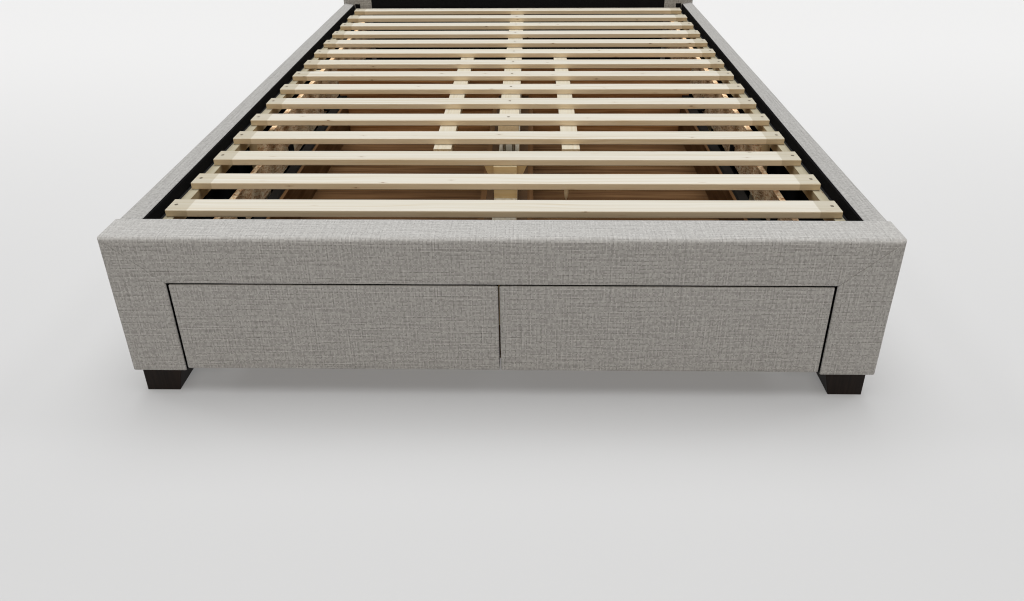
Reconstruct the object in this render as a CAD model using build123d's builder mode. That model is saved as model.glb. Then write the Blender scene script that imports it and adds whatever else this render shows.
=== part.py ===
"""Queen-size upholstered platform bed with two long storage drawers in its foot end.

Frame: origin on the floor under the centre of the bed, +X to the right seen from the foot end,
+Y towards the head end and +Z up. Millimetres. The drawers pull out along -Y.
"""
from build123d import *
import os

os.makedirs("parts", exist_ok=True)

# ---- Driving dimensions -----------------------------------------------------------------
WIDTH = 1640.0            # outer width of the foot and head panels
FOOT_DEPTH = 80.0         # thickness of the foot panel
INNER_LENGTH = 2050.0     # clear length between foot and head panels
HEAD_DEPTH = 60.0         # thickness of the head panel
LEG_HEIGHT = 66.0
PANEL_HEIGHT = 342.0      # underside of the upholstery to the top of the rails
HEAD_RISE = 60.0          # head panel above the rails
BAND_HEIGHT = 111.5       # upholstered band above the drawers
OPENING_HALF = 700.0      # half width of the drawer opening
RAIL_OUTER_HALF = 817.0   # outer faces of the side rails
INNER_HALF = 770.0        # half the clear width between the side rails
COVER = 6.0               # foam and fabric over the boards
LINING = 1.5              # black non-woven lining
LINING_GAP = 0.5          # between linings that meet in a corner
TOP_ROUND = 11.0          # front top edge of the foot panel

SLAT_COUNT = 15
SLAT_LENGTH = 1514.0
SLAT_WIDTH = 54.0
SLAT_THICKNESS = 18.0
SLAT_PITCH = 136.0
FIRST_SLAT = 160.0        # front face of the bed to the first slat
SLAT_DROP = 24.0          # slat tops below the rail tops

DRAWER_GAP_SIDE = 7.0
DRAWER_GAP_TOP = 3.0
DRAWER_GAP_MIDDLE = 3.0
DRAWER_LIFT = 5.0         # drawer undersides above the post undersides
DRAWER_BOARD = 16.0       # thickness of the sides and back
DRAWER_DEPTH = 1280.0     # front face to the rear of the box
BAR_LENGTH = 1180.0       # sliding bars on the drawer sides
DRAWER_SIDE_HEIGHT = 139.0
DRAWER_SIDE_TOP = 234.0
RUNNER_HEIGHT = 36.0

# ---- Derived levels and lines -----------------------------------------------------------
LENGTH = FOOT_DEPTH + INNER_LENGTH + HEAD_DEPTH
FRONT = -LENGTH / 2
FOOT_REAR = FRONT + FOOT_DEPTH
HEAD_FACE = FOOT_REAR + INNER_LENGTH
BACK = LENGTH / 2
BASE = LEG_HEIGHT
RAIL_TOP = BASE + PANEL_HEIGHT
HEAD_TOP = RAIL_TOP + HEAD_RISE
BAND_BASE = RAIL_TOP - BAND_HEIGHT
SLAT_TOP = RAIL_TOP - SLAT_DROP
SLAT_BASE = SLAT_TOP - SLAT_THICKNESS
LINED_HALF = INNER_HALF - LINING
SIDES = (("left", -1), ("right", 1))


def span(first, second):
    """Return a length and its midpoint between two faces, in either order."""
    return abs(second - first), (first + second) / 2


def board(x_faces, y_faces, z_faces):
    """Return a rectangular board that reaches between the given pairs of faces."""
    x_size, x_mid = span(*x_faces)
    y_size, y_mid = span(*y_faces)
    z_size, _ = span(*z_faces)
    with BuildPart() as blank:
        with BuildSketch(Plane.XY.offset(min(z_faces))):
            with Locations((x_mid, y_mid)):
                Rectangle(x_size, y_size)
        extrude(amount=z_size)
    return blank.part


def slat_front(number):
    """Return the front edge of a slat, counted from the foot end."""
    return FRONT + FIRST_SLAT + (number - 1) * SLAT_PITCH


def slat_middle(number):
    """Return the centre line of a slat."""
    return slat_front(number) + SLAT_WIDTH / 2


# ---- Foot panel: a board over two posts, upholstered in three mitred pieces --------------
CORE_ROUND = TOP_ROUND - COVER

with BuildPart() as foot_top_board:
    add(board((-WIDTH / 2 + COVER, WIDTH / 2 - COVER), (FRONT + COVER, FOOT_REAR),
              (BAND_BASE + COVER, RAIL_TOP - COVER)))
    top_edges = foot_top_board.edges().filter_by(Axis.X).group_by(Axis.Z)[-1]
    fillet(top_edges.sort_by(Axis.Y)[0], CORE_ROUND)
foot_top_board.part.label = "foot_top_board"
export_step(foot_top_board.part, "parts/foot_top_board.step")

with BuildPart() as foot_posts:
    for _, side in SIDES:
        add(board((side * (OPENING_HALF + COVER), side * (WIDTH / 2 - COVER)),
                  (FRONT + COVER, FOOT_REAR), (BASE + COVER, BAND_BASE)))
        add(board((side * (OPENING_HALF + COVER), side * (WIDTH / 2 - COVER)),
                  (FRONT + COVER, FOOT_REAR), (BAND_BASE, BAND_BASE + COVER)))
foot_posts.part.label = "foot_posts"
export_step(foot_posts.part, "parts/foot_posts.step")


def foot_cover():
    """Return the whole upholstery of the foot panel, open at the rear, before it is mitred."""
    with BuildPart() as shell:
        add(board((-WIDTH / 2, WIDTH / 2), (FRONT, FOOT_REAR), (BASE, RAIL_TOP)))
        add(board((-OPENING_HALF, OPENING_HALF), (FRONT, FOOT_REAR), (BASE, BAND_BASE)),
            mode=Mode.SUBTRACT)
        upper_edges = shell.edges().filter_by(Axis.X).group_by(Axis.Z)[-1]
        fillet(upper_edges.sort_by(Axis.Y)[0], TOP_ROUND)
        add(foot_top_board.part, mode=Mode.SUBTRACT)
        add(foot_posts.part, mode=Mode.SUBTRACT)
    return shell.part


def mitre_plane(side):
    """Return the plane of a mitre seam, from an outer top corner to a drawer opening corner."""
    outer = Vector(side * WIDTH / 2, FRONT, RAIL_TOP)
    inner = Vector(side * OPENING_HALF, FRONT, BAND_BASE)
    seam = (outer - inner).normalized()
    upward = Vector(-side * seam.Z, 0, abs(seam.X))
    return Plane(origin=inner, x_dir=(0, 1, 0), z_dir=upward)


with BuildPart() as foot_cover_top:
    add(foot_cover())
    split(bisect_by=mitre_plane(-1), keep=Keep.TOP)
    split(bisect_by=mitre_plane(1), keep=Keep.TOP)
foot_cover_top.part.label = "foot_cover_top"
export_step(foot_cover_top.part, "parts/foot_cover_top.step")

for name, side in SIDES:
    with BuildPart() as foot_cover_side:
        add(foot_cover())
        split(bisect_by=mitre_plane(side), keep=Keep.BOTTOM)
        split(bisect_by=Plane.YZ, keep=Keep.TOP if side > 0 else Keep.BOTTOM)
    foot_cover_side.part.label = f"foot_cover_{name}"
    export_step(foot_cover_side.part, f"parts/foot_cover_{name}.step")

# ---- Side rails: a board with a crowned upholstered top -----------------------------------
CROWN_BASE = RAIL_TOP - 11.0     # where the crown starts, on both faces of the rail
RAIL_CORE_TOP = RAIL_TOP - 14.0

for name, side in SIDES:
    with BuildPart() as side_rail:
        add(board((side * INNER_HALF, side * (RAIL_OUTER_HALF - COVER)),
                  (FOOT_REAR, HEAD_FACE), (BASE + COVER, RAIL_CORE_TOP)))
    side_rail.part.label = f"side_rail_{name}"
    export_step(side_rail.part, f"parts/side_rail_{name}.step")

    with BuildPart() as side_cover:
        with BuildSketch(Plane.XZ.offset(-FOOT_REAR)):
            with BuildLine():
                Polyline((side * INNER_HALF, CROWN_BASE), (side * INNER_HALF, BASE),
                         (side * RAIL_OUTER_HALF, BASE), (side * RAIL_OUTER_HALF, CROWN_BASE))
                ThreePointArc((side * RAIL_OUTER_HALF, CROWN_BASE),
                              (side * (RAIL_OUTER_HALF + INNER_HALF) / 2, RAIL_TOP),
                              (side * INNER_HALF, CROWN_BASE))
            make_face()
        extrude(amount=-INNER_LENGTH)
        add(side_rail.part, mode=Mode.SUBTRACT)
    side_cover.part.label = f"side_cover_{name}"
    export_step(side_cover.part, f"parts/side_cover_{name}.step")

# ---- Head panel: a low upholstered board with a black-lined inner face ---------------------
HEAD_LINING_HALF = 688.0
HEAD_LINING_TOP = HEAD_TOP - 18.0

with BuildPart() as head_panel:
    add(board((-WIDTH / 2 + COVER, WIDTH / 2 - COVER), (HEAD_FACE + COVER, BACK - COVER),
              (BASE + COVER, HEAD_TOP - COVER)))
head_panel.part.label = "head_panel"
export_step(head_panel.part, "parts/head_panel.step")

head_lining = board((-HEAD_LINING_HALF, HEAD_LINING_HALF), (HEAD_FACE, HEAD_FACE + COVER),
                    (BASE, HEAD_LINING_TOP))

with BuildPart() as head_cover:
    add(board((-WIDTH / 2, WIDTH / 2), (HEAD_FACE, BACK), (BASE, HEAD_TOP)))
    crown_edges = head_cover.edges().filter_by(Axis.X).group_by(Axis.Z)[-1]
    fillet(crown_edges, TOP_ROUND)
    add(head_panel.part, mode=Mode.SUBTRACT)
    add(head_lining, mode=Mode.SUBTRACT)
head_cover.part.label = "head_cover"
export_step(head_cover.part, "parts/head_cover.step")

# ---- Black lining on the inner faces -------------------------------------------------------
with BuildPart() as inner_lining:
    add(head_lining)
    add(board((-LINED_HALF + LINING_GAP, LINED_HALF - LINING_GAP),
              (FOOT_REAR, FOOT_REAR + LINING), (BAND_BASE + COVER, RAIL_TOP - COVER)))
    for _, side in SIDES:
        add(board((side * (OPENING_HALF + COVER), side * (LINED_HALF - LINING_GAP)),
                  (FOOT_REAR, FOOT_REAR + LINING), (BASE + COVER, BAND_BASE + COVER)))
        add(board((side * LINED_HALF, side * INNER_HALF), (FOOT_REAR, HEAD_FACE),
                  (BASE + COVER, CROWN_BASE)))
inner_lining.part.label = "inner_lining"
export_step(inner_lining.part, "parts/inner_lining.step")

# ---- Corner legs: blocks that taper on their two inner faces -------------------------------
LEG_TOP_SIZE = 90.0
LEG_FOOT_SIZE = 75.0
LEG_INSET_SIDE = 13.0
LEG_INSET_END = 12.0
LEG_EDGE = 2.0

for end_name, end, end_face in (("front", -1, FRONT), ("rear", 1, BACK)):
    for name, side in SIDES:
        corner_x = side * (WIDTH / 2 - LEG_INSET_SIDE)
        corner_y = end_face - end * LEG_INSET_END
        with BuildPart() as leg:
            for level, size in ((0, LEG_FOOT_SIZE), (LEG_HEIGHT, LEG_TOP_SIZE)):
                with BuildSketch(Plane.XY.offset(level)):
                    with Locations((corner_x - side * size / 2, corner_y - end * size / 2)):
                        RectangleRounded(size, size, LEG_EDGE)
            loft()
        leg.part.label = f"{end_name}_leg_{name}"
        export_step(leg.part, f"parts/{end_name}_leg_{name}.step")

# ---- Slats, each screwed down near both ends -----------------------------------------------
SLAT_EDGE = 2.5
SCREW_INSET = 14.0
SCREW_RADIUS = 2.0
SCREW_HEAD_RADIUS = 4.2
SCREW_HEAD_HEIGHT = 1.8
SCREW_RECESS = 2.2
SCREW_BITE = 18.0
FIRST_BEAM_SLAT = 5       # the centre beam starts under this slat


def screw_places(number):
    """Return the X positions of the screws in a slat."""
    ends = [-SLAT_LENGTH / 2 + SCREW_INSET, SLAT_LENGTH / 2 - SCREW_INSET]
    if number >= FIRST_BEAM_SLAT:
        ends.append(0)
    return ends


for number in range(1, SLAT_COUNT + 1):
    with BuildPart() as slat:
        with BuildSketch(Plane.YZ):
            with Locations((slat_middle(number), SLAT_TOP - SLAT_THICKNESS / 2)):
                RectangleRounded(SLAT_WIDTH, SLAT_THICKNESS, SLAT_EDGE)
        extrude(amount=SLAT_LENGTH / 2, both=True)
        with Locations([(x, slat_middle(number), SLAT_TOP) for x in screw_places(number)]):
            CounterBoreHole(SCREW_RADIUS, SCREW_HEAD_RADIUS, SCREW_RECESS, SLAT_THICKNESS)
    slat.part.label = f"slat_{number:02d}"
    export_step(slat.part, f"parts/slat_{number:02d}.step")

with BuildPart() as slat_screws:
    for number in range(1, SLAT_COUNT + 1):
        seat = SLAT_TOP - SCREW_RECESS
        places = [(x, slat_middle(number)) for x in screw_places(number)]
        with BuildSketch(Plane.XY.offset(seat)):
            with Locations(places):
                Circle(SCREW_HEAD_RADIUS)
        extrude(amount=SCREW_HEAD_HEIGHT)
        with BuildSketch(Plane.XY.offset(seat)):
            with Locations(places):
                Circle(SCREW_RADIUS)
        extrude(amount=-(SLAT_THICKNESS - SCREW_RECESS + SCREW_BITE))
slat_screws.part.label = "slat_screws"
export_step(slat_screws.part, "parts/slat_screws.step")

# ---- What carries the slats ------------------------------------------------------------------
LEDGER_WIDTH = 28.5
LEDGER_HEIGHT = 30.0
BEAM_WIDTH = 60.0
BEAM_HEIGHT = 22.0
BATTEN_WIDTH = 48.0
BATTEN_HEIGHT = 20.0
BATTEN_X = 175.0
LEDGER_BASE = SLAT_BASE - LEDGER_HEIGHT
BEAM_BASE = SLAT_BASE - BEAM_HEIGHT
BEAM_FRONT = slat_front(FIRST_BEAM_SLAT)
BATTEN_FRONT = slat_front(4) - 30.0
BATTEN_REAR = slat_front(10) + SLAT_WIDTH

with BuildPart() as ledgers:
    for _, side in SIDES:
        add(board((side * (LINED_HALF - LEDGER_WIDTH), side * LINED_HALF),
                  (FOOT_REAR + LINING, HEAD_FACE), (LEDGER_BASE, SLAT_BASE)))
    add(slat_screws.part, mode=Mode.SUBTRACT)
ledgers.part.label = "ledgers"
export_step(ledgers.part, "parts/ledgers.step")

with BuildPart() as centre_beam:
    add(board((-BEAM_WIDTH / 2, BEAM_WIDTH / 2), (BEAM_FRONT, HEAD_FACE), (BEAM_BASE, SLAT_BASE)))
    add(slat_screws.part, mode=Mode.SUBTRACT)
centre_beam.part.label = "centre_beam"
export_step(centre_beam.part, "parts/centre_beam.step")

with BuildPart() as support_battens:
    for _, side in SIDES:
        add(board((side * (BATTEN_X - BATTEN_WIDTH / 2), side * (BATTEN_X + BATTEN_WIDTH / 2)),
                  (BATTEN_FRONT, BATTEN_REAR), (SLAT_BASE - BATTEN_HEIGHT, SLAT_BASE)))
support_battens.part.label = "support_battens"
export_step(support_battens.part, "parts/support_battens.step")

# ---- Stringer between the drawers, and what stands on it and holds it up -----------------------
STRINGER_TOP = 274.0
STRINGER_BASE = 174.0
STRINGER_FRONT = FRONT + 28.0
CROSS_FACE = FRONT + 1330.0      # front face of the cross board behind the drawers
CROSS_THICKNESS = 18.0
CROSS_HALF = 660.0               # the outer runners end on its face
CORBEL_HALF_TOP = 58.0
CORBEL_SHOULDER = 296.0
CORBEL_THICKNESS = 24.0
CORBEL_FACING = 20.0      # upright block on the front of the corbel
HANGER_DEPTH = 45.0

with BuildPart() as centre_stringer:
    add(board((-BEAM_WIDTH / 2, BEAM_WIDTH / 2), (STRINGER_FRONT, CROSS_FACE),
              (STRINGER_BASE, STRINGER_TOP)))
centre_stringer.part.label = "centre_stringer"
export_step(centre_stringer.part, "parts/centre_stringer.step")

with BuildPart() as stringer_blocks:
    add(board((-BEAM_WIDTH / 2, BEAM_WIDTH / 2), (STRINGER_FRONT, STRINGER_FRONT + HANGER_DEPTH),
              (STRINGER_TOP, BAND_BASE)))
    with BuildSketch(Plane.XZ.offset(-slat_middle(3))):
        with BuildLine():
            Polyline((-BEAM_WIDTH / 2, STRINGER_TOP), (BEAM_WIDTH / 2, STRINGER_TOP),
                     (BEAM_WIDTH / 2, CORBEL_SHOULDER), (CORBEL_HALF_TOP, SLAT_BASE),
                     (-CORBEL_HALF_TOP, SLAT_BASE), (-BEAM_WIDTH / 2, CORBEL_SHOULDER), close=True)
        make_face()
    extrude(amount=CORBEL_THICKNESS / 2, both=True)
    corbel_front = slat_middle(3) - CORBEL_THICKNESS / 2
    add(board((-BEAM_WIDTH / 2, BEAM_WIDTH / 2), (corbel_front - CORBEL_FACING, corbel_front),
              (STRINGER_TOP, SLAT_BASE)))
stringer_blocks.part.label = "stringer_blocks"
export_step(stringer_blocks.part, "parts/stringer_blocks.step")

TUBE_RADIUS = 16.0
TUBE_FOOT_RADIUS = 24.0
TUBE_FOOT_HEIGHT = 8.0
BEAM_LEG_Y = FRONT + 1750.0
STRINGER_LEGS = [FRONT + distance for distance in (150.0, 700.0, 1250.0)]

with BuildPart() as centre_legs:
    for y, top in [(y, STRINGER_BASE) for y in STRINGER_LEGS] + [(BEAM_LEG_Y, BEAM_BASE)]:
        for radius, height in ((TUBE_RADIUS, top), (TUBE_FOOT_RADIUS, TUBE_FOOT_HEIGHT)):
            with BuildSketch(Plane.XY):
                with Locations((0, y)):
                    Circle(radius)
            extrude(amount=height)
centre_legs.part.label = "centre_legs"
export_step(centre_legs.part, "parts/centre_legs.step")

# ---- Boards beside the drawers, posts, cross board and dust cover -------------------------------
SIDE_BOARD_X = (708.0, 723.0)
SIDE_BOARD_BASE = 182.0
SIDE_BOARD_LOW_TOP = 281.0
SIDE_BOARD_FRONT = FOOT_REAR + 6.0
SIDE_BOARD_REAR = HEAD_FACE - 6.0
POST_FRONT = slat_front(4) + 72.0
POST_WIDTH = 24.0
POST_DEPTH = 45.0
REAR_POST_SETBACK = 110.0
DUST_COVER_BASE = BASE + COVER
DUST_COVER_TOP = DUST_COVER_BASE + LINING
DUST_STRIP_INNER = 664.0  # clear of the drawer boxes

with BuildPart() as side_boards:
    for _, side in SIDES:
        faces = [side * x for x in SIDE_BOARD_X]
        add(board(faces, (SIDE_BOARD_FRONT, POST_FRONT), (SIDE_BOARD_BASE, SIDE_BOARD_LOW_TOP)))
        add(board(faces, (POST_FRONT + 1.0, SIDE_BOARD_REAR), (SIDE_BOARD_BASE, LEDGER_BASE)))
side_boards.part.label = "side_boards"
export_step(side_boards.part, "parts/side_boards.step")

with BuildPart() as ledger_posts:
    for _, side in SIDES:
        for y in (POST_FRONT, CROSS_FACE - POST_DEPTH, HEAD_FACE - REAR_POST_SETBACK):
            add(board((side * SIDE_BOARD_X[1], side * (SIDE_BOARD_X[1] + POST_WIDTH)),
                      (y, y + POST_DEPTH), (DUST_COVER_TOP, LEDGER_BASE)))
ledger_posts.part.label = "ledger_posts"
export_step(ledger_posts.part, "parts/ledger_posts.step")

with BuildPart() as cross_board:
    add(board((-CROSS_HALF, CROSS_HALF), (CROSS_FACE, CROSS_FACE + CROSS_THICKNESS),
              (DUST_COVER_BASE, BEAM_BASE)))
cross_board.part.label = "cross_board"
export_step(cross_board.part, "parts/cross_board.step")

with BuildPart() as dust_cover:
    add(board((-LINED_HALF, LINED_HALF), (CROSS_FACE + CROSS_THICKNESS, HEAD_FACE),
              (DUST_COVER_BASE, DUST_COVER_TOP)))
    with Locations((0, BEAM_LEG_Y, DUST_COVER_TOP)):
        Hole(TUBE_RADIUS + 1.0)
    for _, side in SIDES:
        add(board((side * DUST_STRIP_INNER, side * LINED_HALF),
                  (FOOT_REAR + LINING + LINING_GAP, CROSS_FACE + CROSS_THICKNESS - LINING_GAP),
                  (DUST_COVER_BASE, DUST_COVER_TOP)))
dust_cover.part.label = "dust_cover"
export_step(dust_cover.part, "parts/dust_cover.step")

# ---- Corner brackets and their bolts -------------------------------------------------------------
BRACKET_REACH = 58.0
BRACKET_PLATE = 4.0
BRACKET_Z = (120.0, 320.0)
BOLT_RADIUS = 4.0
BOLT_HEAD = 6.5
BOLT_HEAD_HEIGHT = 5.0
BOLT_OFFSET = 38.0        # corner to the bolt line
BOLT_LEVELS = (160.0, 280.0)
STUD_RADIUS = 5.0
STUD_SPREAD = 14.0
STUD_Y = BEAM_FRONT + 24.0


def bolt_planes():
    """Return a plane on the face of a bracket plate for each bolt, with its normal to the head."""
    planes = []
    for _, side in SIDES:
        for corner_y, inward in ((FOOT_REAR + LINING, 1), (HEAD_FACE, -1)):
            for level in BOLT_LEVELS:
                rail_point = (side * (LINED_HALF - BRACKET_PLATE),
                              corner_y + inward * BOLT_OFFSET, level)
                panel_point = (side * (LINED_HALF - BOLT_OFFSET),
                               corner_y + inward * BRACKET_PLATE, level)
                planes.append(Plane(origin=rail_point, z_dir=(-side, 0, 0)))
                planes.append(Plane(origin=panel_point, z_dir=(0, inward, 0)))
    return planes


with BuildPart() as bracket_bolts:
    for plane in bolt_planes():
        with BuildSketch(plane):
            RegularPolygon(BOLT_HEAD, 6, major_radius=False)
        extrude(amount=BOLT_HEAD_HEIGHT)
        with BuildSketch(plane):
            Circle(BOLT_RADIUS)
        extrude(amount=-BRACKET_PLATE)
    for x in (-STUD_SPREAD, STUD_SPREAD):
        with BuildSketch(Plane.XY.offset(STRINGER_TOP)):
            with Locations((x, STUD_Y)):
                Circle(STUD_RADIUS)
        extrude(amount=BEAM_BASE - STRINGER_TOP)
bracket_bolts.part.label = "bracket_bolts"
export_step(bracket_bolts.part, "parts/bracket_bolts.step")

with BuildPart() as corner_brackets:
    for _, side in SIDES:
        for corner_y, inward in ((FOOT_REAR + LINING, 1), (HEAD_FACE, -1)):
            add(board((side * (LINED_HALF - BRACKET_PLATE), side * LINED_HALF),
                      (corner_y, corner_y + inward * BRACKET_REACH), BRACKET_Z))
            add(board((side * (LINED_HALF - BRACKET_REACH), side * LINED_HALF),
                      (corner_y, corner_y + inward * BRACKET_PLATE), BRACKET_Z))
    add(bracket_bolts.part, mode=Mode.SUBTRACT)
corner_brackets.part.label = "corner_brackets"
export_step(corner_brackets.part, "parts/corner_brackets.step")

# ---- Drawer runners: channels on the bed, bars on the drawers -------------------------------------
RUNNER_OUTER_X = 660.0     # outer face of the outer channel
RUNNER_WEB = 3.0
CHANNEL_WIDTH = 26.0
RUN_CLEARANCE = 0.5
RUNNER_FRONT = FOOT_REAR + 12.0
RUNNER_BASE = DRAWER_SIDE_TOP - RUNNER_HEIGHT
BAR_BASE = RUNNER_BASE + RUNNER_WEB + RUN_CLEARANCE
BAR_TOP = DRAWER_SIDE_TOP - RUNNER_WEB - RUN_CLEARANCE
BAR_NOSE = CHANNEL_WIDTH - RUNNER_WEB - RUN_CLEARANCE    # how far a bar reaches into its channel
OUTER_SIDE_FACE = RUNNER_OUTER_X - CHANNEL_WIDTH - RUN_CLEARANCE
INNER_SIDE_FACE = BEAM_WIDTH / 2 + CHANNEL_WIDTH + RUN_CLEARANCE


def channel(side, web_face, mouth):
    """Return a fixed runner: a channel whose mouth opens along mouth from its web face."""
    tip = web_face + mouth * CHANNEL_WIDTH
    web = web_face + mouth * RUNNER_WEB
    with BuildPart() as section:
        add(board((side * web_face, side * tip), (RUNNER_FRONT, CROSS_FACE),
                  (RUNNER_BASE, DRAWER_SIDE_TOP)))
        add(board((side * web, side * tip), (RUNNER_FRONT, CROSS_FACE),
                  (RUNNER_BASE + RUNNER_WEB, DRAWER_SIDE_TOP - RUNNER_WEB)), mode=Mode.SUBTRACT)
    return section.part


with BuildPart() as fixed_runners:
    for _, side in SIDES:
        add(channel(side, RUNNER_OUTER_X, -1))
        add(channel(side, BEAM_WIDTH / 2, 1))
fixed_runners.part.label = "fixed_runners"
export_step(fixed_runners.part, "parts/fixed_runners.step")

HOLDER_PLATE = 4.0
HOLDER_WIDTH = 40.0
HOLDER_LEG = 40.0
HOLDER_PLACES = (140.0, 420.0, 860.0, 1280.0)

with BuildPart() as runner_brackets:
    for _, side in SIDES:
        for distance in HOLDER_PLACES:
            y_faces = (FRONT + distance - HOLDER_WIDTH / 2, FRONT + distance + HOLDER_WIDTH / 2)
            add(board((side * RUNNER_OUTER_X, side * SIDE_BOARD_X[0]), y_faces,
                      (RUNNER_BASE, RUNNER_BASE + HOLDER_PLATE)))
            add(board((side * (SIDE_BOARD_X[0] - HOLDER_PLATE), side * SIDE_BOARD_X[0]), y_faces,
                      (RUNNER_BASE, RUNNER_BASE + HOLDER_LEG)))
runner_brackets.part.label = "runner_brackets"
export_step(runner_brackets.part, "parts/runner_brackets.step")

# ---- Drawers ------------------------------------------------------------------------------------
FRONT_THICKNESS = 24.0
DRAWER_BOX_FRONT = FRONT + FRONT_THICKNESS
DRAWER_BOX_REAR = FRONT + DRAWER_DEPTH
DRAWER_SIDE_BASE = DRAWER_SIDE_TOP - DRAWER_SIDE_HEIGHT
BOTTOM_BASE = DRAWER_SIDE_BASE + 8.0
BOTTOM_THICKNESS = 5.0
FACE_TOP = BAND_BASE - DRAWER_GAP_TOP
FACE_BASE = BASE + DRAWER_LIFT
FACE_INNER = DRAWER_GAP_MIDDLE / 2
FACE_OUTER = OPENING_HALF - DRAWER_GAP_SIDE
FACE_ROUND = 5.0

for name, side in SIDES:
    inner_board = (side * INNER_SIDE_FACE, side * (INNER_SIDE_FACE + DRAWER_BOARD))
    outer_board = (side * (OUTER_SIDE_FACE - DRAWER_BOARD), side * OUTER_SIDE_FACE)
    inside = (inner_board[1], outer_board[0])

    with BuildPart() as drawer_front:
        add(board((side * (FACE_INNER + COVER), side * (FACE_OUTER - COVER)),
                  (FRONT + COVER, DRAWER_BOX_FRONT), (FACE_BASE + COVER, FACE_TOP - COVER)))
    drawer_front.part.label = f"drawer_{name}_front"
    export_step(drawer_front.part, f"parts/drawer_{name}_front.step")

    with BuildPart() as drawer_cover:
        add(board((side * FACE_INNER, side * FACE_OUTER), (FRONT, DRAWER_BOX_FRONT),
                  (FACE_BASE, FACE_TOP)))
        fillet(drawer_cover.faces().sort_by(Axis.Y)[0].edges(), FACE_ROUND)
        add(drawer_front.part, mode=Mode.SUBTRACT)
    drawer_cover.part.label = f"drawer_{name}_cover"
    export_step(drawer_cover.part, f"parts/drawer_{name}_cover.step")

    with BuildPart() as drawer_sides:
        for faces in (inner_board, outer_board):
            add(board(faces, (DRAWER_BOX_FRONT, DRAWER_BOX_REAR),
                      (DRAWER_SIDE_BASE, DRAWER_SIDE_TOP)))
    drawer_sides.part.label = f"drawer_{name}_sides"
    export_step(drawer_sides.part, f"parts/drawer_{name}_sides.step")

    with BuildPart() as drawer_back:
        add(board(inside, (DRAWER_BOX_REAR - DRAWER_BOARD, DRAWER_BOX_REAR),
                  (DRAWER_SIDE_BASE, DRAWER_SIDE_TOP)))
    drawer_back.part.label = f"drawer_{name}_back"
    export_step(drawer_back.part, f"parts/drawer_{name}_back.step")

    with BuildPart() as drawer_bottom:
        add(board(inside, (DRAWER_BOX_FRONT, DRAWER_BOX_REAR - DRAWER_BOARD),
                  (BOTTOM_BASE, BOTTOM_BASE + BOTTOM_THICKNESS)))
    drawer_bottom.part.label = f"drawer_{name}_bottom"
    export_step(drawer_bottom.part, f"parts/drawer_{name}_bottom.step")

    with BuildPart() as drawer_bars:
        for face, into in ((OUTER_SIDE_FACE, 1), (INNER_SIDE_FACE, -1)):
            add(board((side * face, side * (face + into * (BAR_NOSE + RUN_CLEARANCE))),
                      (DRAWER_BOX_REAR - BAR_LENGTH, DRAWER_BOX_REAR), (BAR_BASE, BAR_TOP)))
    drawer_bars.part.label = f"drawer_{name}_runners"
    export_step(drawer_bars.part, f"parts/drawer_{name}_runners.step")
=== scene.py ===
"""Looks of the platform bed: fabric, pine slats, boards, steel, floor, light and camera."""

import math
import random

import bmesh
import bpy
from mathutils import Matrix, Vector, noise


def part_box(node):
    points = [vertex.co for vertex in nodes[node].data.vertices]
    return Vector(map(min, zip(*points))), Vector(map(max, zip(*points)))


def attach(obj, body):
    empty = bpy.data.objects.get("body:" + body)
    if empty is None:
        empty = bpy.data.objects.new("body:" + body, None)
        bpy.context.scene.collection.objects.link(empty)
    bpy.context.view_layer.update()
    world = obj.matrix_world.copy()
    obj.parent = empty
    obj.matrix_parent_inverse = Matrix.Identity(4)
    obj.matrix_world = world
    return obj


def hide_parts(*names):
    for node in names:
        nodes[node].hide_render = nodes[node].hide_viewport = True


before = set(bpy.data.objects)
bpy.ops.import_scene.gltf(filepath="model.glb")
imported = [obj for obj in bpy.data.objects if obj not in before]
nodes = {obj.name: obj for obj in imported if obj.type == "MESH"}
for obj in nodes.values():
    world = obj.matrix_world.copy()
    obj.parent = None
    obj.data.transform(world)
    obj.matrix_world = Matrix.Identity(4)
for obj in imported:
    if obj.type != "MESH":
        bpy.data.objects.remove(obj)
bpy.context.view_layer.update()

MM = 0.001
FRAME_BODY = "bed_frame"

# ---- Sizes taken from the frame --------------------------------------------------------
top_low, top_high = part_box("foot_cover_top")
FRONT_Y, FOOT_REAR_Y = top_low.y, top_high.y
BAND_BASE, RAIL_TOP = top_low.z, top_high.z
PANEL_HALF = top_high.x
post_low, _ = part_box("foot_cover_right")
PANEL_BASE = post_low.z
OPENING_HALF = post_low.x
rail_low, rail_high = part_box("side_cover_right")
RAIL_INNER, RAIL_OUTER = rail_low.x, rail_high.x
HEAD_FACE_Y = rail_high.y
head_low, head_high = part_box("head_cover")
# The darker slat ends are a painted shadow of the side rails.
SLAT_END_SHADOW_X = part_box("slat_02")[1].x - 50 * MM   # where the darker end of a slat starts

CENTRAL_HALF = 100 * MM   # the steel is bronze this close to the centre line
LEDGER_SHADE = 6 * MM       # painted shade: black over the outer edge of a ledger, against the rail
RAIL_LAP = 1.5 * MM       # black lining over the inner edge of the rail fabric
WEFT_PITCH = 3.2 * MM     # spacing of the threads that run along the cloth
WARP_PITCH = 2.7 * MM     # spacing of the threads that run across it


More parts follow.
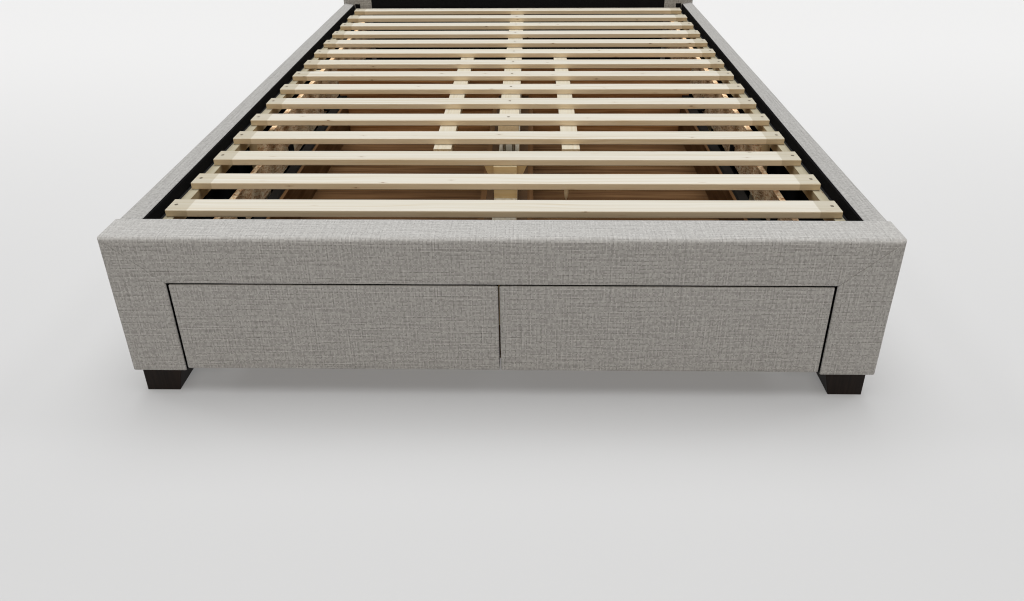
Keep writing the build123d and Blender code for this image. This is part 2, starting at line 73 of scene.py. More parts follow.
# ---- Node helpers ----------------------------------------------------------------------
class Recipe:
    """A material under construction, with short calls for the nodes that the recipes share."""

    def __init__(self, name):
        self.material = bpy.data.materials.new(name)
        self.material.use_nodes = True
        self.tree = self.material.node_tree
        self.shader = self.tree.nodes["Principled BSDF"]

    def node(self, kind, **settings):
        made = self.tree.nodes.new(kind)
        for key, value in settings.items():
            setattr(made, key, value)
        return made

    def wire(self, source, target):
        self.tree.links.new(source, target)

    def feed(self, socket, value):
        if hasattr(value, "is_output"):
            self.wire(value, socket)
        else:
            socket.default_value = value

    def math(self, operation, first, second=0.0, clamp=False):
        made = self.node("ShaderNodeMath", operation=operation, use_clamp=clamp)
        self.feed(made.inputs[0], first)
        self.feed(made.inputs[1], second)
        return made.outputs[0]

    def place(self, source, scale=(1, 1, 1), offset=(0, 0, 0), turn=(0, 0, 0)):
        made = self.node("ShaderNodeMapping")
        self.wire(source, made.inputs["Vector"])
        made.inputs["Scale"].default_value = scale
        made.inputs["Location"].default_value = offset
        made.inputs["Rotation"].default_value = turn
        return made.outputs[0]

    def axes(self, vector):
        made = self.node("ShaderNodeSeparateXYZ")
        self.wire(vector, made.inputs[0])
        return tuple(made.outputs)

    def join(self, *values):
        made = self.node("ShaderNodeCombineXYZ")
        for socket, value in zip(made.inputs, values):
            self.feed(socket, value)
        return made.outputs[0]

    def object_space(self):
        return self.node("ShaderNodeTexCoord").outputs["Object"]

    def cloth_space(self):
        return self.node("ShaderNodeUVMap", uv_map="cloth").outputs["UV"]

    def off_centre(self):
        """Return the distance from the centre plane of the bed."""
        return self.math("ABSOLUTE", self.axes(self.object_space())[0])

    def upright(self):
        """Return 1 on upright faces and 0 on level ones."""
        rise = self.axes(self.node("ShaderNodeTexCoord").outputs["Normal"])[2]
        return self.math("SUBTRACT", 1.0, self.math("ABSOLUTE", rise), clamp=True)

    def cells(self, vector, scale=5.0, randomness=1.0):
        """Return the distance to the nearest cell centre and a random number for that cell."""
        made = self.node("ShaderNodeTexVoronoi")
        self.wire(vector, made.inputs["Vector"])
        made.inputs["Scale"].default_value = scale
        made.inputs["Randomness"].default_value = randomness
        shade = self.node("ShaderNodeSeparateColor")
        self.wire(made.outputs["Color"], shade.inputs[0])
        return made.outputs["Distance"], shade.outputs["Red"]

    def noise(self, vector, scale=1.0, detail=3.0, roughness=0.55, distortion=0.0):
        made = self.node("ShaderNodeTexNoise")
        self.wire(vector, made.inputs["Vector"])
        made.inputs["Scale"].default_value = scale
        made.inputs["Detail"].default_value = detail
        made.inputs["Roughness"].default_value = roughness
        made.inputs["Distortion"].default_value = distortion
        return made.outputs["Fac"]

    def ramp(self, factor, stops):
        made = self.node("ShaderNodeValToRGB")
        self.wire(factor, made.inputs["Fac"])
        elements = made.color_ramp.elements
        while len(elements) < len(stops):
            elements.new(0.5)
        for element, (position, colour) in zip(elements, stops):
            element.position = position
            element.color = (*colour, 1.0)
        return made.outputs["Color"]

    def mix(self, factor, first, second, blend="MIX"):
        made = self.node("ShaderNodeMix", data_type="RGBA", blend_type=blend)
        self.feed(made.inputs["Factor"], factor)
        for socket, value in ((made.inputs[6], first), (made.inputs[7], second)):
            self.feed(socket, value if hasattr(value, "is_output") else (*value, 1.0))
        return made.outputs[2]

    def tinted(self, colour, tint):
        return self.mix(1.0, colour, tint, "MULTIPLY")

    def bump(self, height, strength, distance):
        made = self.node("ShaderNodeBump")
        made.inputs["Strength"].default_value = strength
        made.inputs["Distance"].default_value = distance
        self.wire(height, made.inputs["Height"])
        return made.outputs["Normal"]

    def finish(self, colour, roughness, normal=None, **constants):
        self.feed(self.shader.inputs["Base Color"], colour)
        self.feed(self.shader.inputs["Roughness"], roughness)
        if normal is not None:
            self.wire(normal, self.shader.inputs["Normal"])
        for key, value in constants.items():
            self.shader.inputs[key.replace("_", " ")].default_value = value
        return self.material


# ---- Materials -------------------------------------------------------------------------
MATT_BLACK = [(0.3, (0.005, 0.0045, 0.004)), (0.7, (0.010, 0.009, 0.008))]


def thread_tone(r, along, across, pitch, seed):
    """Return how far a thread is lighter or darker than the thread beside it, about zero."""
    number = r.math("FLOOR", r.math("DIVIDE", across, pitch))
    tones = []
    for step in (0, 1):
        lane = r.math("MULTIPLY", r.math("ADD", number, step), 7.3)
        tones.append(r.noise(r.join(r.math("MULTIPLY", along, 9.0), lane, seed), detail=1.0))
    return number, r.math("SUBTRACT", tones[0], tones[1])


def linen(name, top_shade=1.0):
    """Light grey linen-look weave: slubby weft and warp threads that differ in tone and in height.

    Level faces are darkened by a given factor, a painted shade on the tops, and upright ones get a
    stronger contrast, a painted stand-in for raking light.
    """
    r = Recipe(name)
    u, v, _ = r.axes(r.cloth_space())
    row, weft = thread_tone(r, u, v, WEFT_PITCH, 0.0)
    column, warp = thread_tone(r, v, u, WARP_PITCH, 9.0)
    crossing = r.node("ShaderNodeTexWhiteNoise", noise_dimensions="2D")
    r.wire(r.join(row, column, 0.0), crossing.inputs["Vector"])
    fleck = r.math("SUBTRACT", crossing.outputs["Value"], 0.5)
    # Painted raking light: upright faces get a stronger contrast in their colour.
    upright = r.upright()
    contrast = r.math("ADD", 1.0, r.math("MULTIPLY", upright, 0.5))
    tone = r.math("ADD", r.math("MULTIPLY", weft, 0.22), r.math("MULTIPLY", warp, 0.17))
    tone = r.math("ADD", tone, r.math("MULTIPLY", fleck, 0.16))
    tone = r.math("ADD", 0.5, r.math("MULTIPLY", tone, contrast))
    colour = r.ramp(tone, [(0.0, (0.060, 0.055, 0.050)), (0.5, (0.345, 0.342, 0.333)),
                           (1.0, (0.630, 0.627, 0.616))])
    # Painted shade: level faces are darkened by the given factor.
    level = r.math("SUBTRACT", 1.0, upright, clamp=True)
    colour = r.mix(level, colour, r.tinted(colour, (top_shade,) * 3))
    ridges = r.noise(r.place(r.cloth_space(), (9, 250, 1), (0, 0, 3)), detail=1.0)
    ribs = r.noise(r.place(r.cloth_space(), (340, 9, 1), (0, 0, 7)), detail=1.0)
    slubs = r.noise(r.place(r.cloth_space(), (260, 300, 1), (0, 0, 5)), detail=1.0)
    height = r.math("ADD", ridges, r.math("MULTIPLY", ribs, 0.6))
    height = r.math("ADD", height, r.math("MULTIPLY", slubs, 0.7))
    return r.finish(colour, 0.92, r.bump(height, 1.0, 0.0004), Sheen_Weight=0.12,
                    Sheen_Roughness=0.45, Specular_IOR_Level=0.2)


def pine(name, along, seed, tint=(1, 1, 1), end_shadow=False, shaded_beyond=None):
    """Planed pine with long grain, soft growth lines, fine pores and a few knots.

    The ends of a slat can be painted darker, a painted shadow of the side rails. Past a given
    distance from the centre plane, the wood is painted black, a painted shade where it meets the
    rail.
    """
    r = Recipe(name)
    generator = random.Random(seed)
    offset = tuple(generator.uniform(-9, 9) for _ in range(3))
    spin = generator.uniform(-0.012, 0.012)
    turn = {"x": (0, 0, spin), "y": (0, 0, math.pi / 2 + spin), "z": (0, math.pi / 2, 0)}[along]
    base = r.place(r.object_space(), (1, 1, 1), offset, turn)
    sway = r.noise(r.place(base, (1.6, 9, 9)), detail=2.0)
    bent = r.node("ShaderNodeVectorMath", operation="ADD")
    r.wire(base, bent.inputs[0])
    r.wire(r.join(0.0, r.math("MULTIPLY", sway, 0.05), r.math("MULTIPLY", sway, 0.02)),
           bent.inputs[1])
    rings = r.noise(r.place(bent.outputs[0], (1.1, 130, 90)), detail=4.0, roughness=0.6)
    fibre = r.noise(r.place(base, (14, 900, 900)), detail=2.0)
    blotch = r.noise(r.place(base, (3.0, 14, 14)), detail=3.0)
    distance, chance = r.cells(r.place(base, (2.6, 13, 13)))
    rare = r.math("GREATER_THAN", chance, 0.72)
    knot = r.math("MULTIPLY", r.math("LESS_THAN", distance, 0.07), rare)
    halo = r.math("SUBTRACT", 1.0, r.math("DIVIDE", distance, 0.2), clamp=True)
    halo = r.math("MULTIPLY", r.math("MULTIPLY", halo, rare), 0.55)
    tones = ((0.478, 0.419, 0.314), (0.525, 0.499, 0.427), (0.56, 0.544, 0.487))
    warm, pale, cream = [tuple(a * b for a, b in zip(tint, tone)) for tone in tones]
    wood = r.ramp(rings, [(0.30, warm), (0.46, pale), (0.62, cream)])
    wood = r.mix(r.math("MULTIPLY", fibre, 0.16), wood, (0.37, 0.30, 0.20))
    wood = r.mix(r.math("MULTIPLY", blotch, 0.30), wood, cream)
    wood = r.mix(halo, wood, (0.28, 0.18, 0.09))
    wood = r.mix(knot, wood, (0.108, 0.058, 0.026))
    # Painted shadow of the side rail over the end of the slat.
    if end_shadow:
        past = r.math("SUBTRACT", r.off_centre(), SLAT_END_SHADOW_X)
        shade = r.math("MULTIPLY", r.math("MULTIPLY", past, 400.0, clamp=True), 0.8)
        wood = r.mix(shade, wood, r.tinted(wood, (0.74, 0.71, 0.64)))
    # Painted light: upright faces are painted lighter and warmer than level ones, standing in for
    # fill light on the edges.
    wood = r.mix(r.upright(), wood, r.tinted(wood, (1.50, 1.32, 1.08)))
    # Painted shade: black over the wood where it meets the rail.
    if shaded_beyond:
        beyond = r.math("GREATER_THAN", r.off_centre(), shaded_beyond)
        wood = r.mix(beyond, wood, (0.008, 0.008, 0.0085))
    height = r.math("ADD", r.math("MULTIPLY", rings, 0.4), r.math("MULTIPLY", fibre, 0.6))
    rough = r.math("ADD", 0.52, r.math("MULTIPLY", fibre, 0.2))
    return r.finish(wood, rough, r.bump(height, 0.22, 0.0004), Specular_IOR_Level=0.35)


def strand_board():
    """Oriented strand board: long overlapping flakes at many angles, each with its own tone."""
    r = Recipe("strand_board")
    layers = ((0.3, (30, 12, 62)), (-0.45, (30, 15, 48)), (1.1, (30, 11, 56)))
    tones = []
    edges = []
    for index, (turn, scale) in enumerate(layers):
        turned = r.place(r.object_space(), (1, 1, 1), (index * 3.1, index * 1.7, 0), (turn, 0, 0))
        edge, tone = r.cells(r.place(turned, scale))
        tones.append(tone)
        edges.append(edge)
    flake = r.math("ADD", r.math("MULTIPLY", tones[0], 0.5), r.math("MULTIPLY", tones[1], 0.3))
    flake = r.math("ADD", flake, r.math("MULTIPLY", tones[2], 0.2))
    grain = r.noise(r.place(r.object_space(), (40, 14, 160)), detail=2.0)
    value = r.math("ADD", flake, r.math("MULTIPLY", r.math("SUBTRACT", grain, 0.5), 0.15))
    colour = r.ramp(value, [(0.15, (0.40, 0.21, 0.10)), (0.42, (0.66, 0.43, 0.245)),
                            (0.62, (0.79, 0.59, 0.37)), (0.9, (0.86, 0.74, 0.52))])
    return r.finish(colour, 0.68, r.bump(r.math("ADD", edges[0], edges[1]), 0.4, 0.0012),
                    Specular_IOR_Level=0.1)


def brown_grain(r, along, depth, softness=0.16):
    """Return the colour and the grain of brown wood whose grain runs along one axis.

    depth scales the tones, and a larger softness brings light and dark grain closer together.
    """
    stretch = {"x": (2.6, 75, 75), "y": (75, 2.6, 75)}[along]
    broad = tuple(0.8 + value / 20 for value in stretch)
    sway = r.noise(r.place(r.object_space(), broad), detail=2.0)
    grain = r.noise(r.place(r.object_space(), stretch), detail=4.0, distortion=0.4)
    value = r.math("ADD", r.math("MULTIPLY", grain, 0.75), r.math("MULTIPLY", sway, 0.25))
    tones = ((0.50, 0.235, 0.091), (1.0, 0.52, 0.22), (1.57, 0.87, 0.40))
    places = (0.5 - softness, 0.5, 0.5 + softness)
    stops = [(place, tuple(depth * part for part in tone))
             for place, tone in zip(places, tones)]
    return r.ramp(value, stops), grain


def hardboard(name, depth):
    """Brown board with a printed wood grain across the bed."""
    r = Recipe(name)
    colour, grain = brown_grain(r, "x", depth)
    return r.finish(colour, 0.68, r.bump(grain, 0.12, 0.0003), Specular_IOR_Level=0.06)


def drawer_board(side_name, side):
    """Drawer side board: brown wood grain, with matt black foil on the outside of the drawer."""
    r = Recipe(f"drawer_board_{side_name}")
    low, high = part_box(f"drawer_{side_name}_sides")
    outer_face = max(abs(low.x), abs(high.x))
    colour, grain = brown_grain(r, "y", 0.115, 0.34)
    outward = r.math("MULTIPLY", r.axes(r.object_space())[0], side)
    foiled = r.math("GREATER_THAN", outward, outer_face - 7 * MM)
    foil = r.ramp(r.noise(r.object_space(), scale=6.0, detail=4.0), MATT_BLACK)
    return r.finish(r.mix(foiled, colour, foil), 0.66, r.bump(grain, 0.12, 0.0003),
                    Specular_IOR_Level=0.06)


def core_board():
    """Raw particle board behind the upholstery: speckled chips."""
    r = Recipe("core_board")
    distance, tone = r.cells(r.place(r.object_space(), (260, 260, 420)))
    colour = r.ramp(tone, [(0.0, (0.36, 0.245, 0.135)), (0.6, (0.53, 0.40, 0.25)),
                           (1.0, (0.66, 0.54, 0.37))])
    return r.finish(colour, 0.7, r.bump(distance, 0.3, 0.0005))


def lining():
    """Black non-woven lining: matted fibres with a faint point-bonded grid."""
    r = Recipe("black_lining")
    base = r.object_space()
    fibre = r.noise(base, scale=700.0, detail=4.0, roughness=0.7)
    points, _ = r.cells(base, scale=420.0, randomness=0.15)
    colour = r.ramp(fibre, [(0.36, (0.0025, 0.0025, 0.003)), (0.64, (0.014, 0.014, 0.015))])
    height = r.math("ADD", fibre, r.math("MULTIPLY", points, 0.5))
    return r.finish(colour, 0.95, r.bump(height, 0.5, 0.0005), Specular_IOR_Level=0.06)


def espresso():
    """Dark espresso lacquer over open grain, worn a little lighter in streaks."""
    r = Recipe("espresso_wood")
    base = r.object_space()
    grain = r.noise(r.place(base, (160, 160, 7)), detail=4.0, distortion=0.3)
    colour = r.ramp(grain, [(0.3, (0.0065, 0.0042, 0.0036)), (0.7, (0.019, 0.0125, 0.010))])
    rough = r.math("ADD", 0.42, r.math("MULTIPLY", grain, 0.18))
    return r.finish(colour, rough, r.bump(grain, 0.15, 0.0004), Specular_IOR_Level=0.12)


def black_steel():
    """Powder coat with orange peel: black, and bronze on the steel beside the centre line."""
    r = Recipe("black_steel")
    peel = r.noise(r.object_space(), scale=900.0, detail=2.0)
    smudge = r.noise(r.object_space(), scale=14.0, detail=3.0)
    bronze = r.ramp(smudge, [(0.3, (0.055, 0.030, 0.014)), (0.7, (0.085, 0.048, 0.023))])
    central = r.math("LESS_THAN", r.off_centre(), CENTRAL_HALF)
    colour = r.mix(central, r.ramp(smudge, MATT_BLACK), bronze)
    return r.finish(colour, 0.6, r.bump(peel, 0.2, 0.0002), Specular_IOR_Level=0.12)


def zinc_steel():
    """Zinc-plated steel with uneven passivation."""
    r = Recipe("zinc_steel")
    patch = r.noise(r.object_space(), scale=300.0, detail=3.0)
    colour = r.ramp(patch, [(0.3, (0.20, 0.17, 0.13)), (0.7, (0.36, 0.33, 0.28))])
    rough = r.math("ADD", 0.32, r.math("MULTIPLY", patch, 0.2))
    return r.finish(colour, rough, r.bump(patch, 0.1, 0.0001), Metallic=0.9)


def studio_floor():
    """Pale paper with a painted glow that lifts its shadows, and painted a little lighter beyond
    the head end as a painted falloff of light.
    """
    r = Recipe("studio_floor")
    depth = r.node("ShaderNodeMapRange", interpolation_type="SMOOTHSTEP")
    r.wire(r.axes(r.object_space())[1], depth.inputs["Value"])
    depth.inputs["From Min"].default_value = FRONT_Y - 0.6
    depth.inputs["From Max"].default_value = FRONT_Y + 3.0
    speck = r.noise(r.object_space(), scale=60.0, detail=3.0)
    # Painted falloff of light: the floor is painted lighter towards the head end.
    painted_falloff = r.ramp(depth.outputs["Result"], [(0.0, (0.322, 0.325, 0.329)),
                                             (1.0, (0.448, 0.452, 0.457))])
    colour = r.mix(r.math("MULTIPLY", speck, 0.02), painted_falloff, (0.3, 0.3, 0.3))
    # The emission is a painted glow that lifts the shadows on the floor.
    return r.finish(colour, 0.85, Emission_Color=(1.0, 1.0, 1.0, 1.0), Emission_Strength=0.18)


# ---- Upholstery ------------------------------------------------------------------------
ARC_STEPS = 5             # pieces of a rounded corner


def rounded_outline(corners, radii, spacing):
    """Return a closed outline with arcs at its corners and points at most spacing apart."""
    points = []
    count = len(corners)
    for index, corner in enumerate(corners):
        here = Vector(corner)
        back = (Vector(corners[index - 1]) - here).normalized()
        ahead = (Vector(corners[(index + 1) % count]) - here).normalized()
        half = back.angle(ahead) / 2
        reach = radii[index] / math.tan(half)
        centre = here + (back + ahead).normalized() * (radii[index] / math.sin(half))
        first = here + back * reach - centre
        last = here + ahead * reach - centre
        sweep = first.angle_signed(last)
        for step in range(ARC_STEPS + 1):
            angle = -sweep * step / ARC_STEPS
            turned = Vector((first.x * math.cos(angle) - first.y * math.sin(angle),
                             first.x * math.sin(angle) + first.y * math.cos(angle)))
            points.append(centre + turned)
    filled = []
    for index, point in enumerate(points):
        following = points[(index + 1) % len(points)]
        pieces = max(1, math.ceil((following - point).length / spacing))
        for step in range(pieces):
            filled.append(point.lerp(following, step / pieces))
    return filled


def outline_normals(points):
    """Return the outward direction at each point of an anticlockwise outline."""
    normals = []
    for index in range(len(points)):
        along = points[(index + 1) % len(points)] - points[index - 1]
        normals.append(Vector((along.y, -along.x)).normalized())
    return normals


def sweep_steps(length, spacing, end_round):
    """Return (fraction, inset) pairs along a sweep whose two ends are rounded."""
    quarter = [math.pi / 2 * step / ARC_STEPS for step in range(ARC_STEPS + 1)]
    rising = [(end_round * (1 - math.cos(angle)) / length, end_round * (1 - math.sin(angle)))
              for angle in quarter]
    straight = 1 - 2 * end_round / length
    pieces = max(1, math.ceil(straight * length / spacing))
    level = [(end_round / length + straight * step / pieces, 0.0) for step in range(1, pieces)]
    falling = [(1 - fraction, sunk) for fraction, sunk in reversed(rising)]
    return rising + level + falling


def sweep_cover(name, outline, build, start, end, end_round, spacing, relief, flip_cloth=False,
                lining_and_shade_faces=None):
    """Build a closed upholstered piece by sweeping an outline from start to end.

    build(a, b, s) gives the point in the row frame. start(a, b) and end(a, b) give where the sweep
    begins and ends for an outline point, so that an end can be a mitre. relief(point, normal)
    gives how far the surface stands out. The last argument tells which faces get the black
    material: real lining, and painted shade in gaps and crevices.
    """
    normals = outline_normals(outline)
    middle = sum(outline, Vector((0, 0))) / len(outline)
    nominal = sweep_steps(end(*middle) - start(*middle), spacing, end_round)
    mesh = bpy.data.meshes.new(name)
    shape = bmesh.new()
    cloth = shape.loops.layers.uv.new("cloth")
    rings = []
    sweeps = []
    around = [0.0]
    for index in range(len(outline)):
        following = outline[(index + 1) % len(outline)]
        around.append(around[-1] + (following - outline[index]).length)
    for fraction, sunk in nominal:
        ring = []
        sweep = []
        for point, normal in zip(outline, normals):
            a, b = point - normal * sunk
            low, high = start(*point), end(*point)
            s = low + (high - low) * fraction
            place = build(a, b, s)
            outward = (build(a + normal.x, b + normal.y, s) - place).normalized()
            ring.append(shape.verts.new(place + outward * relief(place, outward)))
            sweep.append(s)
        rings.append(ring)
        sweeps.append(sweep)
    count = len(outline)
    for ring_index in range(len(rings) - 1):
        for index in range(count):
            corners = ((ring_index, index), (ring_index, index + 1),
                       (ring_index + 1, index + 1), (ring_index + 1, index))
            face = shape.faces.new([rings[r][i % count] for r, i in corners])
            for loop, (r, i) in zip(face.loops, corners):
                u, v = sweeps[r][i % count], around[i]
                loop[cloth].uv = (v, u) if flip_cloth else (u, v)
    for ring in (rings[0], rings[-1]):
        face = shape.faces.new(ring if ring is rings[-1] else list(reversed(ring)))
        for loop in face.loops:
            co = loop.vert.co
            loop[cloth].uv = (co.x + co.y, co.z)
    bmesh.ops.recalc_face_normals(shape, faces=shape.faces)
    bmesh.ops.triangulate(shape, faces=[f for f in shape.faces if len(f.verts) > 4])
    for face in shape.faces:
        face.smooth = True
        if lining_and_shade_faces and lining_and_shade_faces(face.calc_center_median(), face.normal):
            face.material_index = 1
    shape.to_mesh(mesh)
    shape.free()
    piece = bpy.data.objects.new(name, mesh)
    bpy.context.scene.collection.objects.link(piece)
    mesh.materials.append(fabric)
    if lining_and_shade_faces:
        mesh.materials.append(black_lining)
    return piece


def soft_noise(point, amount, scale=9.0):
    """Return the slow unevenness of pulled fabric."""
    return amount * noise.noise(Vector(point) * scale)


def place_cover(piece, body, *covered):
    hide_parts(*covered)
    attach(piece, body)


fabric = linen("linen_grey")
# The rail fabric gets painted shade on its level faces.
rail_fabric = linen("linen_grey_rail", 0.87)
# This black is the real lining, and also a painted shade in the gaps and crevices of the covers.
black_lining = lining()
SPACING = 14 * MM         # furthest distance between points of a cover
SEAM_ROUND = 1.6 * MM     # rounding where two covers meet
EDGE_PUFF = 2.5 * MM      # reach of the drawer upholstery into the gap beside a drawer


def band_seam(a, b):
    """Return the half length of the band at a point of its outline, along the mitre."""
    share = (b - BAND_BASE) / (RAIL_TOP - BAND_BASE)
    return OPENING_HALF + (PANEL_HALF - OPENING_HALF) * share


def post_seam(a, b):
    """Return the height of a post at a point of its outline, along the mitre."""
    share = (abs(a) - OPENING_HALF) / (PANEL_HALF - OPENING_HALF)
    return BAND_BASE + (RAIL_TOP - BAND_BASE) * share


def foot_relief(place, outward):
    return soft_noise(place, 0.35 * MM)


def shaded_opening_faces(place, normal):
    """Tell whether a face of the foot panel looks into the drawer opening; such faces get the
    black material as a painted shade inside the opening.
    """
    over_drawers = abs(place.x) < OPENING_HALF - 2 * MM
    inward = normal.z < -0.8 if over_drawers else normal.x * place.x < -0.8 * abs(place.x)
    return inward and place.y > FRONT_Y + 4 * MM


def make_foot_panel():
    band = rounded_outline([(FRONT_Y, BAND_BASE), (FOOT_REAR_Y, BAND_BASE),
                            (FOOT_REAR_Y, RAIL_TOP), (FRONT_Y, RAIL_TOP)],
                           [4 * MM, 2 * MM, 3 * MM, 11 * MM], SPACING)
    piece = sweep_cover("foot_upholstery_band", band, lambda a, b, s: Vector((s, a, b)),
                        lambda a, b: -band_seam(a, b), band_seam, SEAM_ROUND, SPACING, foot_relief,
                        lining_and_shade_faces=shaded_opening_faces)
    place_cover(piece, FRAME_BODY, "foot_cover_top")
    for side_name, side in (("left", -1), ("right", 1)):
        corners = [(side * OPENING_HALF, FRONT_Y), (side * PANEL_HALF, FRONT_Y),
                   (side * PANEL_HALF, FOOT_REAR_Y), (side * OPENING_HALF, FOOT_REAR_Y)]
        radii = [3 * MM, 6 * MM, 3 * MM, 2 * MM]
        if side < 0:
            corners.reverse()
            radii.reverse()
        post = rounded_outline(corners, radii, SPACING)
        piece = sweep_cover(f"foot_upholstery_{side_name}", post,
                            lambda a, b, s: Vector((a, b, s)), lambda a, b: PANEL_BASE, post_seam,
                            SEAM_ROUND, SPACING, foot_relief, flip_cloth=True,
                            lining_and_shade_faces=shaded_opening_faces)
        place_cover(piece, FRAME_BODY, f"foot_cover_{side_name}")


def rail_relief(place, outward):
    return soft_noise(place, 0.5 * MM, 6.0)


def faces_bed(place, normal):
    """Tell whether a face of a rail lies under the black lining."""
    return abs(place.x) < RAIL_INNER + RAIL_LAP


def make_side_rails():
    for side_name, side in (("left", -1), ("right", 1)):
        outer = RAIL_OUTER + 2 * MM
        corners = [(side * RAIL_INNER, PANEL_BASE), (side * RAIL_OUTER, PANEL_BASE),
                   (side * outer, RAIL_TOP), (side * RAIL_INNER, RAIL_TOP - 8 * MM)]
        radii = [3 * MM, 4 * MM, 10 * MM, 4 * MM]
        if side < 0:
            corners.reverse()
            radii.reverse()
        section = rounded_outline(corners, radii, SPACING)
        piece = sweep_cover(f"side_upholstery_{side_name}", section,
                            lambda a, b, s: Vector((a, s, b)), lambda a, b: FOOT_REAR_Y,
                            lambda a, b: HEAD_FACE_Y, SEAM_ROUND, 30 * MM, rail_relief,
                            lining_and_shade_faces=faces_bed)
        piece.data.materials[0] = rail_fabric
        place_cover(piece, FRAME_BODY, f"side_cover_{side_name}")


def make_head_panel():
    lining_inset, lining_drop, corner_shade = 82 * MM, 18 * MM, 26 * MM
    lining_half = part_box("inner_lining")[1].x - lining_inset
    lining_top = head_high.z - lining_drop
    corner_start = RAIL_INNER - corner_shade

    def relief(place, outward):
        inner_face = outward.y < -0.9
        covered = abs(place.x) < lining_half + 1 * MM and place.z < lining_top + 1 * MM
        return -3 * MM if inner_face and covered else soft_noise(place, 0.5 * MM)

    # Painted shadow: a black strip on the inner face beside each rail, in the corner.
    def shaded_beside_rail(place, normal):
        return normal.y < -0.8 and corner_start < abs(place.x) < RAIL_INNER and place.z < RAIL_TOP

    section = rounded_outline([(head_low.y, head_low.z), (head_high.y, head_low.z),
                               (head_high.y, head_high.z), (head_low.y, head_high.z)],
                              [3 * MM, 4 * MM, 11 * MM, 11 * MM], SPACING)
    piece = sweep_cover("head_upholstery", section, lambda a, b, s: Vector((s, a, b)),
                        lambda a, b: head_low.x, lambda a, b: head_high.x, 6 * MM, 12 * MM, relief,
                        lining_and_shade_faces=shaded_beside_rail)
    place_cover(piece, FRAME_BODY, "head_cover")


def make_drawer_fronts():
    for side_name, side in (("left", -1), ("right", 1)):
        low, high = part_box(f"drawer_{side_name}_cover")
        if side < 0:
            low.x -= EDGE_PUFF
        else:
            high.x += EDGE_PUFF
        centre = (low + high) / 2
        half = (high - low) / 2

        def relief(place, outward, centre=centre, half=half):
            if outward.y > -0.5:
                return 0.0
            across = 1 - ((place.x - centre.x) / half.x) ** 2
            upward = 1 - ((place.z - centre.z) / half.z) ** 2
            dome = max(0.0, min(1.0, 4 * across)) * max(0.0, min(1.0, 2.5 * upward))
            return 0.8 * MM * dome + soft_noise(place, 0.35 * MM)

        # Painted shade: faces of the cover behind its front edge get black, in the gaps round the
        # drawer.
        def shaded_gap_faces(place, normal, front=low.y):
            return abs(normal.y) < 0.3 and place.y > front + 6 * MM

        rear = high.y - 1 * MM
        section = rounded_outline([(low.y, low.z), (rear, low.z), (rear, high.z), (low.y, high.z)],
                                  [4 * MM, 2 * MM, 2 * MM, 3.5 * MM], SPACING)
        piece = sweep_cover(f"drawer_upholstery_{side_name}", section,
                            lambda a, b, s: Vector((s, a, b)), lambda a, b: low.x,
                            lambda a, b: high.x, 4 * MM, SPACING, relief, lining_and_shade_faces=shaded_gap_faces)
        place_cover(piece, f"{side_name}_drawer", f"drawer_{side_name}_cover")


def make_peg():
    """Make the short pointed pine offcut that hangs under the second slat."""
    low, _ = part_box("slat_02")
    top = Vector((153 * MM, low.y + 22 * MM, low.z + 1 * MM))
    profile = ((0.0, 6.0), (-20.0, 5.5), (-31.0, 3.8), (-39.0, 0.8))   # height and radius, mm
    sides = 8
    shape = bmesh.new()
    rings = []
    for drop, radius in profile:
        ring = []
        for index in range(sides):
            angle = 2 * math.pi * (index + 0.5) / sides
            spot = Vector((math.cos(angle) * radius, math.sin(angle) * radius * 0.7, drop)) * MM
            ring.append(shape.verts.new(top + spot))
        rings.append(ring)
    for upper, lower in zip(rings, rings[1:]):
        for index in range(sides):
            following = (index + 1) % sides
            shape.faces.new((upper[index], upper[following], lower[following], lower[index]))
    shape.faces.new(rings[0])
    shape.faces.new(rings[-1])
    bmesh.ops.recalc_face_normals(shape, faces=shape.faces)
    mesh = bpy.data.meshes.new("pine_peg")
    shape.to_mesh(mesh)
    shape.free()
    peg = bpy.data.objects.new("pine_peg", mesh)
    bpy.context.scene.collection.objects.link(peg)
    mesh.materials.append(pine("pine_peg", "z", 104))
    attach(peg, FRAME_BODY)


# ---- Finishes on the CAD nodes ---------------------------------------------------------
def dress(names, material):
    for name in names:
        nodes[name].data.materials.clear()
        nodes[name].data.materials.append(material)


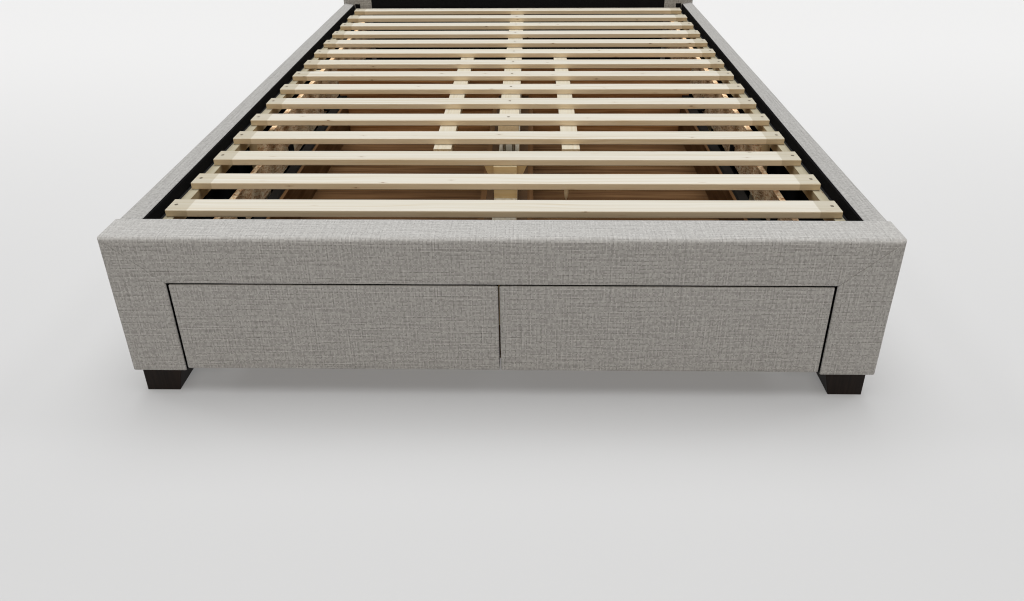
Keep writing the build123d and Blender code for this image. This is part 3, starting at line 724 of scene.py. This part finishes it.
def dress_cad_nodes():
    for number in range(1, 16):
        tint = (0.965 + 0.02 * math.sin(number * 2.4 + 3),) * 3
        slat = pine(f"pine_slat_{number:02d}", "x", number, tint, end_shadow=True)
        dress([f"slat_{number:02d}"], slat)
    lengthwise = pine("pine_lengthwise", "y", 101, (0.88, 0.85, 0.78))
    dress(["centre_beam", "support_battens", "centre_stringer"], lengthwise)
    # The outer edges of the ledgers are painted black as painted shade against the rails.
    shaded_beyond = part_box("ledgers")[1].x - LEDGER_SHADE
    dress(["ledgers"], pine("pine_ledger", "y", 105, (0.61, 0.58, 0.48), shaded_beyond=shaded_beyond))
    dress(["stringer_blocks"], pine("pine_block", "x", 102, (0.95, 0.86, 0.66)))
    dress(["ledger_posts"], pine("pine_upright", "z", 103, (0.92, 0.87, 0.75)))
    dress(["side_boards"], strand_board())
    dress(["inner_lining", "dust_cover"], black_lining)
    dress([f"{end}_leg_{side}" for end in ("front", "rear") for side in ("left", "right")],
          espresso())
    dress(["fixed_runners", "runner_brackets", "corner_brackets", "centre_legs",
           "drawer_left_runners", "drawer_right_runners"], black_steel())
    dress(["slat_screws", "bracket_bolts"], zinc_steel())
    dress(["foot_top_board", "foot_posts", "side_rail_left", "side_rail_right", "head_panel",
           "drawer_left_front", "drawer_right_front"], core_board())
    dress(["cross_board", "drawer_left_back", "drawer_right_back"],
          hardboard("hardboard_upright", 0.42))
    dress(["drawer_left_bottom", "drawer_right_bottom"], hardboard("hardboard_flat", 0.115))
    for side_name, side in (("left", -1), ("right", 1)):
        dress([f"drawer_{side_name}_sides"], drawer_board(side_name, side))


# ---- Stage -----------------------------------------------------------------------------
def make_floor():
    mesh = bpy.data.meshes.new("studio_floor")
    reach = 40.0
    mesh.from_pydata([(-reach, -reach, 0), (reach, -reach, 0), (reach, reach, 0),
                      (-reach, reach, 0)], [], [(0, 1, 2, 3)])
    floor = bpy.data.objects.new("studio_floor", mesh)
    bpy.context.scene.collection.objects.link(floor)
    mesh.materials.append(studio_floor())


def make_world():
    world = bpy.data.worlds.new("studio")
    world.use_nodes = True
    background = world.node_tree.nodes["Background"]
    background.inputs["Color"].default_value = (1.0, 0.96, 0.91, 1.0)
    background.inputs["Strength"].default_value = 0.07
    bpy.context.scene.world = world


def soft_sun(name, azimuth, elevation, spread, strength, colour=(1, 1, 1)):
    """Add a distant softbox, with its angles in degrees.

    Azimuth 0 stands behind the head end and 90 to the right.
    """
    data = bpy.data.lights.new(name, "SUN")
    data.energy = strength
    data.angle = math.radians(spread)
    data.color = colour
    light = bpy.data.objects.new(name, data)
    a, e = math.radians(azimuth), math.radians(elevation)
    towards = Vector((math.sin(a) * math.cos(e), math.cos(a) * math.cos(e), math.sin(e)))
    light.rotation_euler = towards.to_track_quat("Z", "Y").to_euler()
    bpy.context.scene.collection.objects.link(light)


def make_lights():
    soft_sun("overhead_softbox", 0, 84, 60, 3.75)
    soft_sun("left_softbox", -70, 47, 11, 0.34)
    soft_sun("right_softbox", 70, 47, 11, 0.34)
    soft_sun("front_fill", 180, 27, 30, 0.86, (1.0, 0.87, 0.72))


def make_camera():
    """Stand at the foot end, a little right of centre, and look down along the bed."""
    image_width, focal_length = 1024.0, 725.0     # pixels
    shift_right, shift_up = -5.8, -150.0          # pixels
    pitch, yaw, roll = math.radians(24.23), -0.0215, -0.0079
    position = (0.0693, FRONT_Y - 1.2583, RAIL_TOP + 0.7625)
    data = bpy.data.cameras.new("camera")
    data.sensor_width = 36.0
    data.lens = focal_length / image_width * data.sensor_width
    data.shift_x = shift_right / image_width
    data.shift_y = shift_up / image_width
    camera = bpy.data.objects.new("camera", data)
    camera.matrix_world = (Matrix.Translation(position)
                           @ Matrix.Rotation(-yaw, 4, "Z")
                           @ Matrix.Rotation(math.pi / 2 - pitch, 4, "X")
                           @ Matrix.Rotation(roll, 4, "Z"))
    bpy.context.scene.collection.objects.link(camera)
    bpy.context.scene.camera = camera


bpy.context.scene.view_settings.view_transform = "Standard"
bpy.context.scene.cycles.filter_width = 1.1
make_foot_panel()
make_side_rails()
make_head_panel()
make_drawer_fronts()
make_peg()
dress_cad_nodes()
make_floor()
make_world()
make_lights()
make_camera()
